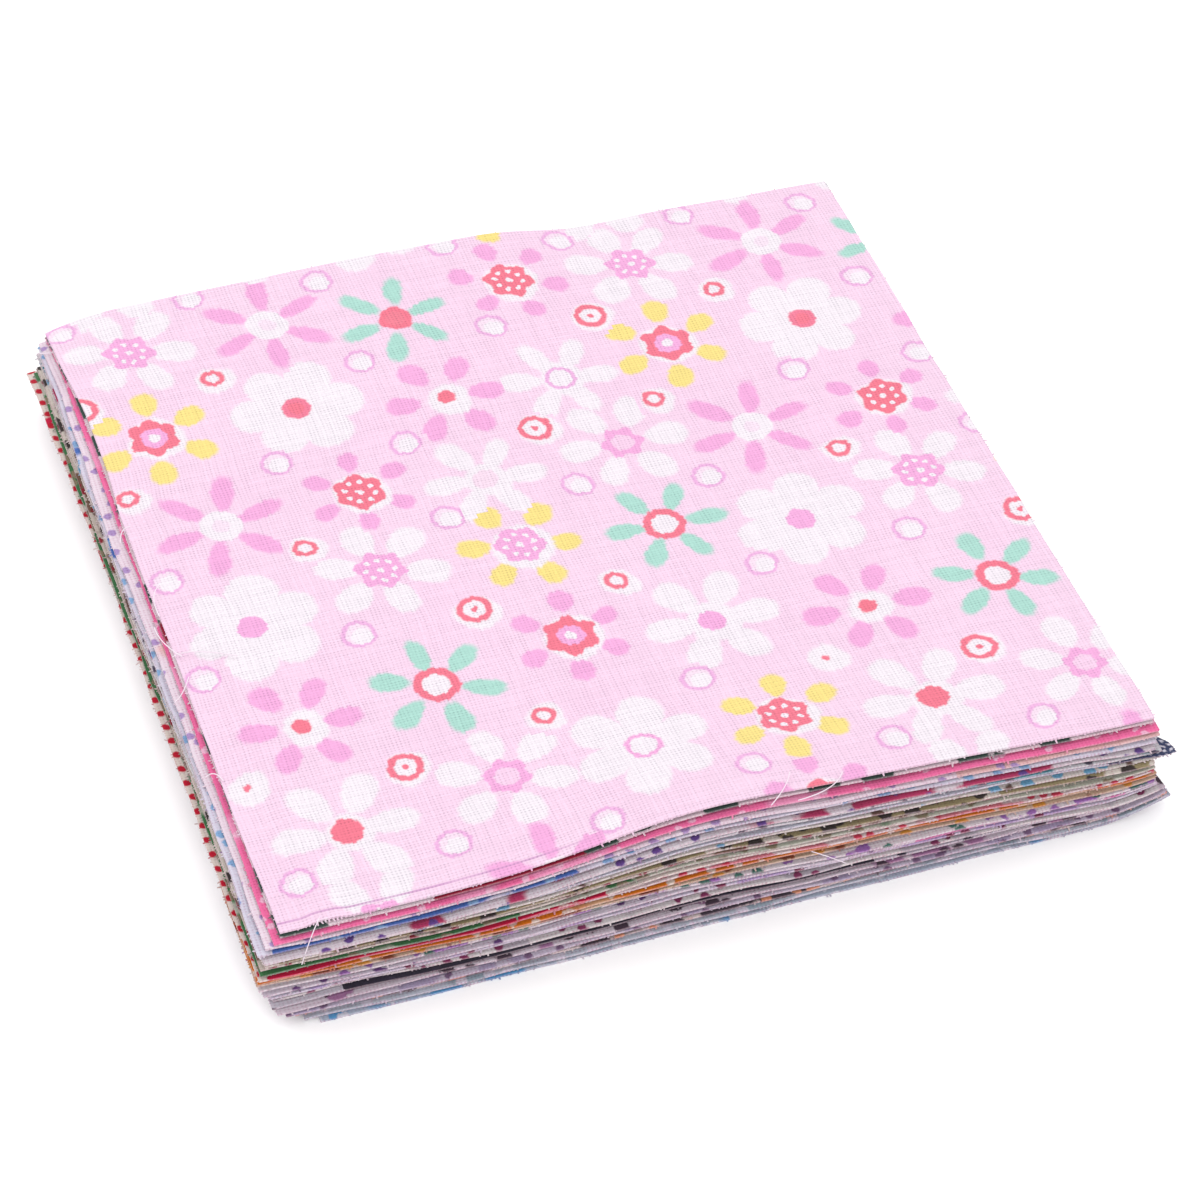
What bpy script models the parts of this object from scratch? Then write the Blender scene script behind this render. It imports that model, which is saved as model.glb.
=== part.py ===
"""A bundle of 26 printed cotton squares, each cut to about 10 cm a side.

The squares lie loosely on one another and their cut edges don't line up. The stack is about 14 mm
high along its front edge, swells there to a crown of about 17 mm, and lies flatter towards its back
right corner. Its back left corner droops, and the lowest squares curl up at the front right corner.

The origin is on the surface that the bundle lies on, below its middle. +X runs to the right along
the front edge, +Y runs to the back and +Z is up. Lengths in the tables below are in millimetres.
"""

import math
import random
from collections import namedtuple

import bmesh
import bpy

MM = 0.001

# Thickness of the cotton. It leaves gaps of about 0.3 mm between the squares.
CLOTH = 0.18

# The top square's middle lies this far to the right of the whole bundle's middle (to its left where
# it is below 0), and behind it.
TOP_SQUARE_RIGHT = -0.2
TOP_SQUARE_BACK = 1.5

# Height of the stack above the surface at the corners of a 100 mm square, without its folds.
HALF_SIDE = 50.0
FRONT_LEFT_HEIGHT = 13.9
FRONT_RIGHT_HEIGHT = 13.3
BACK_LEFT_HEIGHT = 12.3
BACK_RIGHT_HEIGHT = 9.6

# Soft swellings and hollows of the stack's top: where each lies, how far it rises, and how far it
# spreads across (wide) and along (deep).
Fold = namedtuple("Fold", "x y rise wide deep")
FOLDS = (
    Fold(x=-4, y=-54, rise=2.5, wide=14.5, deep=17),    # crown of the front edge, its steep left side
    Fold(x=15, y=-54, rise=2.1, wide=24, deep=19),      # crown of the front edge, its long right side
    Fold(x=-6, y=54, rise=1.3, wide=22, deep=30),       # swell of the back edge
    Fold(x=6, y=54, rise=0.5, wide=6, deep=9),          # small ridge in the back edge
    Fold(x=17, y=54, rise=-0.8, wide=7, deep=12),       # trough beside that ridge
    Fold(x=-55, y=55, rise=-4.6, wide=8, deep=8),       # drooping back left corner
    Fold(x=-24, y=-8, rise=0.5, wide=22, deep=13),      # faint unevenness of the middle
    Fold(x=20, y=6, rise=-0.5, wide=16, deep=24),
)

# How the lowest squares curl up off the surface at the front right corner.
CURL = Fold(x=58, y=-58, rise=5.6, wide=8, deep=10)
CURL_STARTS = 0.3

# The squares' loose spacing: levels shift up and down by this share of the stack, in waves.
LOOSENESS = 0.05
LOOSE_WAVE = 41.0

# Where the edges lie, from the lowest square (level 0) to the top one (level 1), measured from the
# top square's middle. Each edge runs straight between its two ends.
Outline = namedtuple("Outline", "level left right front_left front_right back_left back_right")
OUTLINES = (
    Outline(0.00, -46.4, 53.0, -52.4, -52.6, 47.4, 47.8),
    Outline(0.06, -49.2, 52.6, -52.1, -52.7, 48.0, 48.4),
    Outline(0.15, -51.0, 52.0, -51.4, -52.7, 48.4, 48.9),
    Outline(0.30, -51.6, 50.9, -50.4, -52.5, 48.6, 48.2),
    Outline(0.50, -52.3, 50.3, -50.0, -52.3, 48.0, 48.6),
    Outline(0.63, -52.2, 50.2, -50.2, -52.2, 47.6, 49.0),
    Outline(0.72, -52.2, 51.0, -50.6, -52.0, 48.4, 49.4),
    Outline(0.80, -52.2, 50.7, -51.2, -51.5, 48.6, 49.6),
    Outline(0.88, -51.8, 50.5, -50.9, -51.0, 49.2, 49.3),
    Outline(0.92, -50.9, 50.4, -50.3, -50.4, 49.4, 48.8),
    Outline(0.96, -50.3, 50.3, -50.2, -50.1, 49.6, 48.6),
    Outline(1.00, -50.0, 50.3, -50.0, -49.8, 49.6, 48.4),
)

# Cutting and stacking by hand leaves each edge off by up to this much.
JITTER = 0.35
JITTER_SEED = 26

# Each sheet's mesh: cells across and along, crowded towards the edges, where the folds are tight.
CELLS_ACROSS = 11
CELLS_ALONG = 9
CROWDING = 0.45

# The squares from the lowest to the top one, with the colour that rules each one's print.
Square = namedtuple("Square", "print_name colour")
SQUARES = (
    Square("sky_blue", (0.42, 0.55, 0.68)),
    Square("pale_aqua", (0.50, 0.62, 0.63)),
    Square("peach_and_black", (0.62, 0.48, 0.42)),
    Square("lilac_grey", (0.52, 0.46, 0.56)),
    Square("mauve", (0.55, 0.36, 0.50)),
    Square("black_triangles", (0.05, 0.05, 0.09)),
    Square("ivory_grey", (0.66, 0.64, 0.62)),
    Square("pale_lavender", (0.60, 0.55, 0.68)),
    Square("lilac", (0.58, 0.48, 0.68)),
    Square("purple_sprigs", (0.35, 0.20, 0.45)),
    Square("mustard", (0.62, 0.36, 0.10)),
    Square("orange_dots", (0.75, 0.32, 0.12)),
    Square("peach_dots", (0.78, 0.52, 0.46)),
    Square("red", (0.55, 0.05, 0.08)),
    Square("leaf_green", (0.12, 0.26, 0.12)),
    Square("beige_and_brown", (0.50, 0.42, 0.33)),
    Square("khaki", (0.38, 0.36, 0.22)),
    Square("ivory_and_brown", (0.68, 0.64, 0.56)),
    Square("navy_dots", (0.04, 0.05, 0.13)),
    Square("teal", (0.20, 0.42, 0.45)),
    Square("wine", (0.30, 0.05, 0.12)),
    Square("royal_blue", (0.08, 0.14, 0.42)),
    Square("peach_stripes", (0.80, 0.56, 0.50)),
    Square("hot_pink", (0.80, 0.12, 0.38)),
    Square("white_and_green", (0.45, 0.50, 0.42)),
    Square("pink_flowers", (0.85, 0.55, 0.78)),
)

COTTON_ROUGHNESS = 0.9


def bump(fold, x, y):
    """Height of one soft swelling or hollow at a place."""
    return fold.rise * math.exp(-((x - fold.x) / fold.wide) ** 2 - ((y - fold.y) / fold.deep) ** 2)


def stack_height(x, y):
    """Height of the top square's upper face above the surface."""
    across = (x + HALF_SIDE) / (2 * HALF_SIDE)
    along = (y + HALF_SIDE) / (2 * HALF_SIDE)
    front = FRONT_LEFT_HEIGHT + (FRONT_RIGHT_HEIGHT - FRONT_LEFT_HEIGHT) * across
    back = BACK_LEFT_HEIGHT + (BACK_RIGHT_HEIGHT - BACK_LEFT_HEIGHT) * across
    return front + (back - front) * along + sum(bump(fold, x, y) for fold in FOLDS)


def underside(level, x, y):
    """Height of a square's lower face: level 0 rests on the surface and level 1 is the top square."""
    curl = max(0.0, bump(CURL, x, y) - CURL_STARTS)
    wave = math.sin(math.tau * x / LOOSE_WAVE) * math.cos(math.tau * y / (2 * LOOSE_WAVE))
    loose_level = level + LOOSENESS * level * (1 - level) * wave
    return curl + loose_level * (stack_height(x, y) - CLOTH - curl)


def outline_at(level):
    """The edges of the square at a level, between the two nearest rows of the table."""
    for below, above in zip(OUTLINES, OUTLINES[1:]):
        if level <= above.level:
            share = (level - below.level) / (above.level - below.level)
            return [low + (high - low) * share for low, high in zip(below[1:], above[1:])]
    return list(OUTLINES[-1][1:])


def crowded(share):
    """Moves evenly spaced shares of a side towards its two ends."""
    return share - CROWDING * math.sin(math.tau * share) / math.tau


def lay_square(level, edges, x_share, y_share):
    """The place on the stack, in metres, of a point at the given shares of a square's sides."""
    left, right, front_left, front_right, back_left, back_right = edges
    across = crowded(x_share)
    along = crowded(y_share)
    x = left + (right - left) * across
    front = front_left + (front_right - front_left) * across
    back = back_left + (back_right - back_left) * across
    y = front + (back - front) * along
    z = underside(level, x, y)
    return (x + TOP_SQUARE_RIGHT) * MM, (y + TOP_SQUARE_BACK) * MM, z * MM


def cotton(name, colour):
    """A matt woven cotton in one colour."""
    material = bpy.data.materials.new(name)
    material.use_nodes = True
    material.diffuse_color = (*colour, 1.0)
    shader = material.node_tree.nodes["Principled BSDF"]
    shader.inputs["Base Color"].default_value = (*colour, 1.0)
    shader.inputs["Roughness"].default_value = COTTON_ROUGHNESS
    shader.inputs["Metallic"].default_value = 0.0
    return material


def make_square(number, square, level, edges, collection):
    """One sheet of cotton: a grid laid on the stack and thickened upwards."""
    name = f"square_{number:02d}_{square.print_name}"
    mesh = bpy.data.meshes.new(name)
    sheet = bmesh.new()
    bmesh.ops.create_grid(sheet, x_segments=CELLS_ACROSS, y_segments=CELLS_ALONG, size=0.5)
    for vertex in sheet.verts:
        vertex.co = lay_square(level, edges, vertex.co.x + 0.5, vertex.co.y + 0.5)
    bmesh.ops.triangulate(sheet, faces=sheet.faces[:], quad_method="FIXED")
    sheet.to_mesh(mesh)
    sheet.free()

    body = bpy.data.objects.new(name, mesh)
    collection.objects.link(body)
    mesh.materials.append(cotton(f"{square.print_name}_cotton", square.colour))
    thicken = body.modifiers.new("cloth thickness", "SOLIDIFY")
    thicken.thickness = CLOTH * MM
    thicken.offset = 1.0
    return body


def make_bundle():
    for leftover in list(bpy.data.objects):
        bpy.data.objects.remove(leftover, do_unlink=True)
    collection = bpy.data.collections.new("fabric square bundle")
    bpy.context.scene.collection.children.link(collection)

    hand = random.Random(JITTER_SEED)
    top = len(SQUARES) - 1
    for index, square in enumerate(SQUARES):
        level = index / top
        slack = 0.0 if index in (0, top) else JITTER
        edges = [edge + hand.uniform(-slack, slack) for edge in outline_at(level)]
        make_square(index + 1, square, level, edges, collection)


make_bundle()
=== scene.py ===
"""The looks of a bundle of 26 printed cotton squares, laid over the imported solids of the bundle.

Every square becomes a thin closed sheet of woven cotton on the folds of its solid, with thread ends
standing out of its cut edges. The shape follows the same tables and formulas as the solids. Lengths
in the tables are in millimetres, and the origin of the tables is below the top square's middle.
"""

import math
import random
from collections import namedtuple

import bpy
import numpy as np
from mathutils import Matrix, Vector


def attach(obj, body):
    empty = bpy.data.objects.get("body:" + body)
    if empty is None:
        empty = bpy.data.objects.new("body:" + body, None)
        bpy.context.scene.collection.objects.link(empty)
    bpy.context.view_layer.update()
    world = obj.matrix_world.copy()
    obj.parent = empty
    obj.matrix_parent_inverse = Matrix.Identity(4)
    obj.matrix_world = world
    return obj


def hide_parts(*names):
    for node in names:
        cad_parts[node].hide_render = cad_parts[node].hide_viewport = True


MM = 0.001
BODY = "root"

# The bundle's shape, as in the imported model.
TOP_SQUARE_RIGHT = -0.2
TOP_SQUARE_BACK = 1.5
HALF_SIDE = 50.0
FRONT_LEFT_HEIGHT = 13.9
FRONT_RIGHT_HEIGHT = 13.3
BACK_LEFT_HEIGHT = 12.3
BACK_RIGHT_HEIGHT = 9.6

Fold = namedtuple("Fold", "x y rise wide deep")
FOLDS = (
    Fold(x=-4, y=-54, rise=2.5, wide=14.5, deep=17),    # crown of the front edge, its steep left side
    Fold(x=15, y=-54, rise=2.1, wide=24, deep=19),      # crown of the front edge, its long right side
    Fold(x=-6, y=54, rise=1.3, wide=22, deep=30),       # swell of the back edge
    Fold(x=6, y=54, rise=0.5, wide=6, deep=9),          # small ridge in the back edge
    Fold(x=17, y=54, rise=-0.8, wide=7, deep=12),       # trough beside that ridge
    Fold(x=-55, y=55, rise=-4.6, wide=8, deep=8),       # drooping back left corner
    Fold(x=-24, y=-8, rise=0.5, wide=22, deep=13),      # faint unevenness of the middle
    Fold(x=20, y=6, rise=-0.5, wide=16, deep=24),
)
CURL = Fold(x=58, y=-58, rise=5.6, wide=8, deep=10)
CURL_STARTS = 0.3
LOOSENESS = 0.05
LOOSE_WAVE = 41.0

Outline = namedtuple("Outline", "level left right front_left front_right back_left back_right")
OUTLINES = [Outline(*row) for row in (
    (0.00, -46.4, 53.0, -52.4, -52.6, 47.4, 47.8),
    (0.06, -49.2, 52.6, -52.1, -52.7, 48.0, 48.4),
    (0.15, -51.0, 52.0, -51.4, -52.7, 48.4, 48.9),
    (0.30, -51.6, 50.9, -50.4, -52.5, 48.6, 48.2),
    (0.50, -52.3, 50.3, -50.0, -52.3, 48.0, 48.6),
    (0.63, -52.2, 50.2, -50.2, -52.2, 47.6, 49.0),
    (0.72, -52.2, 51.0, -50.6, -52.0, 48.4, 49.4),
    (0.80, -52.2, 50.7, -51.2, -51.5, 48.6, 49.6),
    (0.88, -51.8, 50.5, -50.9, -51.0, 49.2, 49.3),
    (0.92, -50.9, 50.4, -50.3, -50.4, 49.4, 48.8),
    (0.96, -50.3, 50.3, -50.2, -50.1, 49.6, 48.6),
    (1.00, -50.0, 50.3, -50.0, -49.8, 49.6, 48.4),
)]
JITTER = 0.35
JITTER_SEED = 26

# The cloth's thickness in the looks, and the most of the room below the next square that it takes.
SHEET = 0.28
FILL = 0.62

# Squares cling together in clusters: levels shift by this share of the stack, this many times over.
# The clusters lie higher or lower from place to place, in waves.
CLUSTER = 0.012
CLUSTERS = 4
Sway = namedtuple("Sway", "turn length start")
SWAY_ACROSS = Sway(turn=2.2, length=17, start=0.7)
SWAY_ALONG = Sway(turn=1.8, length=21, start=-0.4)

# The front right corner of the upper squares hangs down a little.
HANG = Fold(x=54, y=-56, rise=0.9, wide=9, deep=12)
HANG_LEVEL = 0.80
HANG_SPREAD = 0.13

# Each square flutters up and down by this much. Its cut edges stray in waves of this height, lower
# ones on the top few squares, divided by the first value plus the second for each longer wave.
FLUTTER = 0.05
FLUTTER_WAVES = (23.0, 11.0)
FLUTTER_SEED = 500
STRAY = 0.13
TOP_STRAY = 0.05
TOP_STRAYS_FROM = 23
STRAY_WAVES = (1.3, 2.7, 5.4, 9.0)
STRAY_FALL = (0.6, 0.4)
STRAY_SEED = 900

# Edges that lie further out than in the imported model, or further in where out is below 0, by less
# than a millimetre, so that each print shows from the side as in the photograph. tilt is how much
# further out the edge's far end lies than its near end (left to right, and front to back). Squares
# are counted from 0.
Nudge = namedtuple("Nudge", "index side out tilt", defaults=(0.0,))
NUDGES = [Nudge(*row) for row in (
    (24, "left", -0.5), (23, "left", -0.35, -0.8), (22, "left", -0.6, -0.7),
    (21, "left", -0.1, -1.1), (20, "left", -0.1, -0.8), (19, "left", -0.4, -0.7),
    (18, "left", -0.1, -0.6), (17, "left", -0.4, -0.4), (16, "left", -0.65, -0.3),
    (15, "left", -0.3, -0.2), (13, "left", 0.1, 0.2), (11, "left", -0.3),
    (23, "front", 0.40, 0.25), (22, "front", -0.1), (21, "front", -0.3, 0.2),
    (24, "front", -0.20, 0.35), (18, "front", -0.35), (16, "front", 0.2, 0.1),
    (15, "front", -0.25), (14, "front", 0.2, -0.4), (13, "front", 0.35, -0.5),
    (11, "front", 0.1), (10, "front", -0.3), (6, "front", 0.1),
    (5, "front", -0.2), (25, "right", 0.1, -0.6),
)]

# Places where an edge stands forward, or back where out is below 0: where along the side, as shares
# of it, and how much of the space that it leaves is bridged by bare thread ends.
Bend = namedtuple("Bend", "index side at reach out comb", defaults=(0.0,))
BENDS = (
    Bend(7, "left", at=0.0, reach=0.16, out=0.3),
    Bend(8, "left", at=0.0, reach=0.18, out=0.7),
    Bend(9, "left", at=0.0, reach=0.20, out=1.1),
    Bend(10, "left", at=0.0, reach=0.22, out=1.0),
    Bend(11, "left", at=0.0, reach=0.22, out=0.5),
    Bend(25, "left", at=0.79, reach=0.11, out=-0.6),
    Bend(25, "front", at=0.052, reach=0.020, out=-0.34, comb=1.0),
    Bend(24, "left", at=0.79, reach=0.11, out=-0.45),
    Bend(24, "right", at=0.0, reach=0.04, out=0.3),
    Bend(23, "right", at=0.0, reach=0.04, out=0.5),
    Bend(22, "right", at=0.0, reach=0.04, out=0.6),
    Bend(18, "right", at=0.0, reach=0.028, out=1.8),
    Bend(18, "front", at=1.0, reach=0.030, out=0.5),
)

# The pulled thread inside the top square's front edge, a line of painted shade: how far inside it runs
# and up to where, how wide its line is, and how that fades.
PULLED_INSIDE = 1.15
PULLED_TO = -18.0
PULLED_WIDE = 0.30
PULLED_SOFT = 0.1
PULLED_FADE = 14.0
PULLED_STRENGTH = 1.3

# The weave: threads to the millimetre, across (warp) and along (weft).
WARP_COUNT = 2.3
WEFT_COUNT = 2.7

# Thread ends at the cut edges: how far they stand out, how unequally and at most how far, how deep
# they start inside the cloth, their half width and height, the most of the cloth's thickness that
# the height takes, and the share of both that is left at the tip.
END_LENGTH = 0.11
END_UNEVEN = 0.55
END_MOST = 0.5
END_ROOT = 0.06
END_WIDE = 0.15
END_HIGH = 0.10
END_FILL = 0.45
END_TIP = 0.6

# How far they lean sideways, splay up and down and droop, as shares of their length.
END_LEAN = 0.16
END_SPLAY = 0.30
END_DROOP = 0.12

# How unequal the bare thread ends of a bend are, and how much of the ends' raw cotton shows.
COMB_UNEVEN = (0.7, 1.2)
END_RAW = (0.4, 1.0)
END_SEED = 700

# Cells along a side of a hidden square's sheet and of the top one's, the shares of a side at which
# extra rows of cells follow both edges, and from what angle on the mesh is shaded as a sharp edge.
CELLS_HIDDEN = 46
CELLS_TOP = 132
RIM_ROWS = (0.0, 0.003, 0.008, 0.016)
SHARP_ANGLE = 50

# The studio is bright, so the cloth reflects this share of what its colour on show would need.
REFLECTANCE = 0.725


def ink(red, green, blue):
    """A colour in linear light, from the values from 0 to 255 that it shows in the studio's light."""
    shares = (red / 255, green / 255, blue / 255)
    linear = (s / 12.92 if s <= 0.04045 else ((s + 0.055) / 1.055) ** 2.4 for s in shares)
    return tuple(REFLECTANCE * s for s in linear)


WHITE = ink(249, 239, 247)
GROUND_PINK = ink(251, 212, 238)
ORCHID = ink(249, 177, 226)
PALE_ORCHID = ink(242, 182, 228)
RED = ink(248, 124, 146)
YELLOW = ink(252, 228, 138)
MINT = ink(176, 223, 211)
RAW_COTTON = ink(240, 216, 226)
PALE_GROUND = ink(252, 220, 241)
PALE_CENTRE = ink(250, 228, 244)
PALE_RING = ink(251, 226, 243)
MINT_CENTRE = ink(246, 130, 150)
BROAD_CENTRE = ink(246, 128, 156)
STAR_CENTRE = ink(250, 222, 240)
# The colour of the painted shade along the pulled thread.
PULLED_SHADE = ink(214, 158, 206)
# Painted shade and painted light of the loose threads' twist.
THREAD_TWIST_SHADE = ink(238, 214, 232)
THREAD_TWIST_LIT = ink(254, 246, 252)

# The prints of the squares from the lowest up: the colours of the ground, its patches (ink) and its
# spots (accent), the shares that they cover, and their sizes. The patches are denser between two
# places across, and the spots lie in rows where scatter is 0. Each print is shifted from the last one.
Print = namedtuple(
    "Print",
    "name ground ink accent share dense dense_from dense_to size accent_share accent_size scatter",
    defaults=(1,),
)
DENSE_SOFT = 1.4
PRINT_SHIFT = (36.985, 19.0)

# A patch lies where soft noise passes this level, less the range times the share that is covered.
# The spots' radii are shares of their size, from the least one up.
PATCH_LEVEL = 0.72
PATCH_RANGE = 0.44
PATCH_SOFT = 0.05
SPOT_LEAST = 0.12
SPOT_GROWTH = 0.5
SPOT_SOFT = 0.25
PRINTS = [Print(*row) for row in (
    # The two lowest squares' dim blue-grey grounds are partly their prints' own blue and partly painted
    # shade of the stack's lower edges.
    ("sky_blue", (190, 200, 216), (120, 172, 216), (226, 228, 238), 0.15, 0.85, -49, -34, 9, 0.20, 3),
    ("pale_aqua", (202, 208, 220), (168, 184, 196), (226, 222, 236), 0.35, 0.35, 0, 10, 7, 0.20, 3),
    ("peach_and_black", (216, 204, 202), (72, 62, 72), (226, 164, 136), 0.26, 0.62, -50, 44, 4.5, 0.16, 3),
    ("lilac_grey", (206, 198, 214), (178, 168, 194), (130, 106, 136), 0.35, 0.40, 0, 20, 6, 0.12, 2.5),
    ("mauve", (220, 210, 220), (168, 126, 162), (74, 58, 72), 0.25, 0.50, 10, 34, 5, 0.24, 3.4),
    ("black_triangles", (208, 204, 214), (50, 46, 60), (62, 56, 72), 0.10, 1.40, -42, 17, 12, 0.02, 4),
    ("ivory_grey", (230, 226, 226), (196, 190, 198), (140, 70, 104), 0.35, 0.35, 0, 10, 6, 0.08, 3),
    ("pale_lavender", (218, 212, 228), (194, 176, 216), (140, 74, 100), 0.35, 0.40, 20, 40, 8, 0.12, 3),
    ("lilac", (222, 214, 226), (210, 116, 172), (110, 80, 130), 0.12, 0.62, 22, 47, 7, 0.10, 3),
    ("purple_sprigs", (230, 224, 230), (166, 126, 190), (84, 126, 116), 0.28, 0.40, -30, 0, 2.6, 0.15, 3),
    ("mustard", (208, 186, 164), (142, 86, 66), (216, 160, 96), 0.30, 0.45, -50, -10, 5, 0.25, 3),
    ("orange_dots", (218, 186, 154), (222, 136, 72), (232, 218, 204), 0.28, 0.88, -54, 34, 9, 0.15, 2.5),
    ("peach_dots", (230, 216, 216), (226, 150, 160), (222, 104, 120), 0.28, 0.35, -20, 20, 5, 0.25, 2),
    ("red", (232, 222, 214), (210, 70, 94), (200, 72, 84), 0.05, 0.95, -48.6, -12, 5, 0.20, 2.2, 0),
    ("leaf_green", (190, 194, 180), (74, 124, 82), (140, 132, 110), 0.20, 0.78, -56, -22, 7, 0.26, 3),
    ("beige_and_brown", (208, 200, 190), (124, 98, 84), (150, 64, 72), 0.30, 0.40, 0, 30, 4, 0.12, 3),
    ("khaki", (222, 216, 206), (158, 148, 116), (60, 52, 50), 0.05, 0.74, -48.6, 56, 5, 0.34, 3),
    ("ivory_and_brown", (226, 222, 216), (116, 92, 84), (132, 184, 214), 0.16, 0.30, -60, -46, 3.6, 0.12, 4),
    ("navy_dots", (62, 70, 100), (208, 210, 222), (226, 228, 238), 0.10, 1.40, -60, 42, 8, 0.28, 0.75, 0),
    ("teal", (214, 216, 220), (104, 160, 172), (92, 88, 104), 0.12, 0.50, 12, 44, 7, 0.12, 3),
    ("wine", (222, 214, 220), (182, 84, 114), (110, 84, 146), 0.14, 0.62, 0, 40, 8, 0.12, 3),
    ("royal_blue", (222, 220, 234), (100, 128, 192), (150, 184, 220), 0.08, 0.80, -48.6, -16, 5, 0.14, 3),
    ("peach_stripes", (240, 228, 238), (240, 206, 204), (182, 160, 206), 0.02, 0.75, 26, 52, 8, 0.10, 3),
    ("hot_pink", (250, 142, 184), (250, 172, 206), (250, 202, 224), 0.30, 0.30, 0, 10, 12, 0.05, 3),
    ("white_and_green", (236, 222, 228), (158, 58, 76), (62, 84, 76), 0.02, 0.95, -33, -13, 8, 0.40, 6),
)]

# The top square's print. Lengths are in millimetres: where the petals' middles lie, half their
# length and width, and the radii of the round parts. Nothing is drawn where a value is NONE. star is
# how far the centre's points stand out, as a share of its radius, and dots how many white dots lie
# around its middle one. The white halo and a ring's white core lie a little to the right of the motif
# and in front of it, because the inks of such a print never meet exactly.
NONE = -3.0
DOTS = 8
Kind = namedtuple(
    "Kind",
    "petals reach long wide halo centre inner core petal_ink centre_ink inner_ink core_ink star dots",
    defaults=(WHITE, WHITE, 0.0, 0),
)
KINDS = {
    "white_star": Kind(6, 5.2, 2.7, 1.85, NONE, 2.8, NONE, NONE, WHITE, ORCHID, star=0.13, dots=DOTS),
    "white_hollow": Kind(6, 5.2, 2.6, 1.8, NONE, 2.4, 1.35, NONE, WHITE, ORCHID, GROUND_PINK, star=0.13),
    "orchid_daisy": Kind(6, 5.1, 2.9, 1.2, NONE, 2.45, 1.0, NONE, ORCHID, WHITE, PALE_CENTRE),
    "mint": Kind(6, 4.7, 2.5, 1.15, NONE, 2.0, 1.2, NONE, MINT, RED, MINT_CENTRE),
    "mint_ring": Kind(6, 5.1, 2.4, 1.3, NONE, 2.6, 1.6, NONE, MINT, RED),
    "orchid_dotted": Kind(6, 5.3, 1.6, 1.3, 3.3, 2.8, NONE, NONE, ORCHID, RED, star=0.10, dots=DOTS),
    "orchid_star": Kind(6, 5.3, 1.7, 1.35, 3.4, 2.9, 1.5, 0.6, ORCHID, RED, ORCHID, star=0.11),
    "orchid_dot": Kind(6, 5.1, 2.2, 1.45, 2.6, 1.1, NONE, NONE, ORCHID, RED, RED, RED),
    "yellow_star": Kind(6, 5.6, 2.0, 1.5, 3.4, 2.85, 1.6, 0.7, YELLOW, RED, ORCHID, star=0.11),
    "yellow_dotted": Kind(6, 5.4, 1.9, 1.5, 3.4, 2.8, NONE, NONE, YELLOW, RED, star=0.10, dots=DOTS),
    "yellow_orchid": Kind(6, 5.3, 2.0, 1.5, 3.6, 2.8, NONE, NONE, YELLOW, ORCHID, star=0.09, dots=DOTS),
    "broad_red": Kind(6, 4.5, 3.4, 2.75, 4.4, 1.75, 1.0, NONE, WHITE, BROAD_CENTRE, RED),
    "broad_orchid": Kind(6, 4.5, 3.5, 2.75, 4.4, 1.75, NONE, NONE, WHITE, ORCHID, ORCHID),
    "broad_ring": Kind(6, 4.7, 3.4, 2.4, 4.2, 2.05, 1.5, NONE, WHITE, ORCHID),
    "star_ring": Kind(6, 4.6, 2.7, 1.45, 2.8, 1.9, 1.4, NONE, WHITE, PALE_ORCHID),
    "star_pale": Kind(6, 4.6, 2.8, 1.5, 2.8, 1.55, NONE, NONE, WHITE, STAR_CENTRE),
    "daisy_orchid": Kind(6, 5.1, 2.9, 1.9, 3.1, 1.55, NONE, NONE, WHITE, ORCHID),
    "daisy_red": Kind(6, 5.3, 3.0, 1.85, 2.7, 1.8, NONE, NONE, WHITE, RED, RED),
    "red_ring": Kind(1, 0.0, 0.1, 0.1, 2.2, 1.4, 0.75, NONE, WHITE, RED),
    "red_target": Kind(1, 0.0, 0.1, 0.1, 2.5, 2.05, 1.3, 0.4, WHITE, RED, WHITE, RED),
    "pale_ring": Kind(1, 0.0, 0.1, 0.1, NONE, 2.0, 1.5, 1.2, WHITE, PALE_ORCHID, PALE_RING),
    "white_spot": Kind(1, 0.0, 0.1, 0.1, 2.3, 0.45, NONE, NONE, WHITE, RED, RED, RED),
}

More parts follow.
